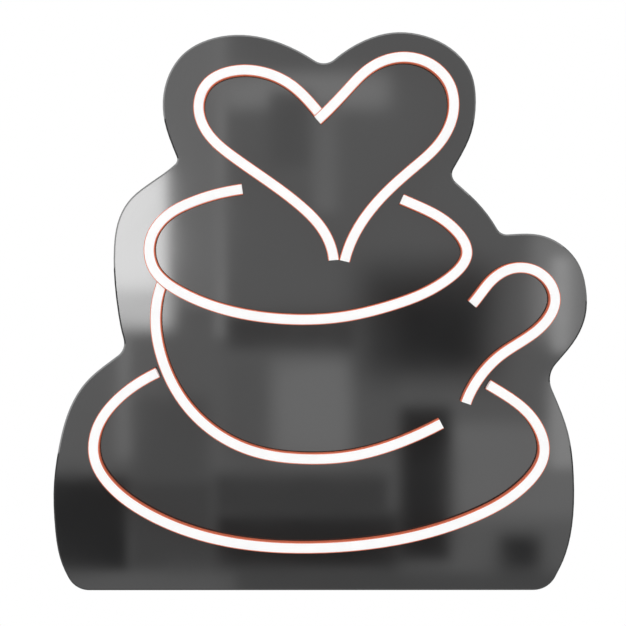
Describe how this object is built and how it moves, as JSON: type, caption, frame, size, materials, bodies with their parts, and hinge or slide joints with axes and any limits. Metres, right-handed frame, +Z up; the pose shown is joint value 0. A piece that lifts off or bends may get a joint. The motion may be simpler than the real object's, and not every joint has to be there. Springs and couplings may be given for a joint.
{
  "type": "neon sign",
  "caption": "wall-hung neon-style light sign: bent LED light tubes in the outlines of a heart, a cup and a saucer on a contour-cut black acrylic board",
  "frame": {"origin": "middle of the four wall studs, in the plane of the wall", "axes": "+X to the viewer's right, +Z up, +Y from the sign's front into the wall"},
  "size_m": [0.4005, 0.0795, 0.4186],
  "materials": {
    "board_acrylic": "glossy",
    "jacket_silicone": "glossy",
    "diffuser_silicone": "satin",
    "plug_silicone": "satin",
    "flex_circuit": "satin",
    "lead_jacket": "satin",
    "grommet_rubber": "matte",
    "clip_plastic": "satin",
    "boss_acrylic": "glossy",
    "zinc_steel": "satin",
    "sleeve_aluminium": "satin",
    "box_plastic": "textured",
    "screw_steel": "satin",
    "brass": "satin",
    "circuit_board": "satin",
    "terminal_plastic": "glossy",
    "jack_plastic": "satin",
    "nickel": "satin",
    "switch_plastic": "satin",
    "rocker_plastic": "glossy",
    "wire_insulation": "satin"
  },
  "bodies": {
    "sign": {"backboard": "board_acrylic", "box_fixing_screws": "screw_steel", "box_inserts": "brass", "control_box_lid": "box_plastic", "control_box_tray": "box_plastic", "dc_jack_body": "jack_plastic", "dc_jack_contacts": "brass", "dc_jack_nut": "nickel", "diffuser_cup_bowl": "diffuser_silicone", "diffuser_cup_handle": "diffuser_silicone", "diffuser_cup_rim": "diffuser_silicone", "diffuser_heart_left": "diffuser_silicone", "diffuser_heart_right": "diffuser_silicone", "diffuser_saucer": "diffuser_silicone", "distribution_board": "circuit_board", "distribution_board_screws": "screw_steel", "end_plugs_cup_bowl": "plug_silicone", "end_plugs_cup_handle": "plug_silicone", "end_plugs_cup_rim": "plug_silicone", "end_plugs_heart_left": "plug_silicone", "end_plugs_heart_right": "plug_silicone", "end_plugs_saucer": "plug_silicone", "feed_grommets": "grommet_rubber", "hookup_wires": "wire_insulation", "input_terminal": "terminal_plastic", "jacket_cup_bowl": "jacket_silicone", "jacket_cup_handle": "jacket_silicone", "jacket_cup_rim": "jacket_silicone", "jacket_heart_left": "jacket_silicone", "jacket_heart_right": "jacket_silicone", "jacket_saucer": "jacket_silicone", "lead_clips": "clip_plastic", "lead_cup_bowl": "lead_jacket", "lead_cup_handle": "lead_jacket", "lead_cup_rim": "lead_jacket", "lead_heart_left": "lead_jacket", "lead_heart_right": "lead_jacket", "lead_saucer": "lead_jacket", "led_strip_cup_bowl": "flex_circuit", "led_strip_cup_handle": "flex_circuit", "led_strip_cup_rim": "flex_circuit", "led_strip_heart_left": "flex_circuit", "led_strip_heart_right": "flex_circuit", "led_strip_saucer": "flex_circuit", "lid_screws": "screw_steel", "mount_bosses": "boss_acrylic", "output_terminals": "terminal_plastic", "spacer_sleeves": "sleeve_aluminium", "switch_blades": "brass", "switch_housing": "switch_plastic", "terminal_screws": "zinc_steel", "wall_studs": "zinc_steel"},
    "rocker": {"switch_rocker": "rocker_plastic"}
  },
  "joints": [
    {"name": "switch_rock", "type": "hinge", "parent": "sign", "child": "rocker", "pos_m": [0.024, -0.013, -0.1895], "axis": [0, 1, 0], "range_deg": [0, 18]}
  ]
}
